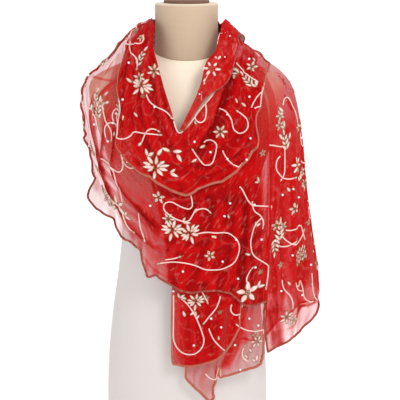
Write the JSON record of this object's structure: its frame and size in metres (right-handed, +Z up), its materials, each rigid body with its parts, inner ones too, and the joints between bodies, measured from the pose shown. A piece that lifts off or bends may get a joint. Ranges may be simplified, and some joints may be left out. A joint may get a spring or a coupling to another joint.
{
  "type": "embroidered scarf on a dress form",
  "caption": "Sheer red embroidered scarf draped over a limbless dress form, with a cowl collar, a front tail and a shoulder fall.",
  "frame": {"origin": "middle of the dress form's flat base, on its underside", "axes": "+Z up along the form, -Y the front of the form and scarf, +X the viewer's right seen from the front"},
  "size_m": [0.4668, 0.2729, 0.8153],
  "materials": {
    "chiffon": "sheer crepe weave",
    "overlock_thread": "dense overlocked thread",
    "embroidery_cord": "soft twisted cord",
    "petal_satin": "satin stitch",
    "gold_beads": "small glass beads with a gold lining",
    "pearls": "pearl gloss",
    "form_jersey": "matte jersey",
    "neck_cloth": "matte linen",
    "cap_wood": "dark satin"
  },
  "bodies": {
    "root": {"form_torso": "form_jersey", "form_neck": "neck_cloth", "form_cap": "cap_wood", "back_neck": "chiffon", "back_neck_edging": "overlock_thread", "cross_drape": "chiffon", "cross_drape_edging": "overlock_thread", "collar": "chiffon", "collar_edging": "overlock_thread", "lapel": "chiffon", "lapel_edging": "overlock_thread", "front_tail": "chiffon", "front_tail_edging": "overlock_thread", "tail_corner": "chiffon", "tail_corner_edging": "overlock_thread", "shoulder_fall": "chiffon", "shoulder_fall_edging": "overlock_thread"}
  },
  "joints": []
}
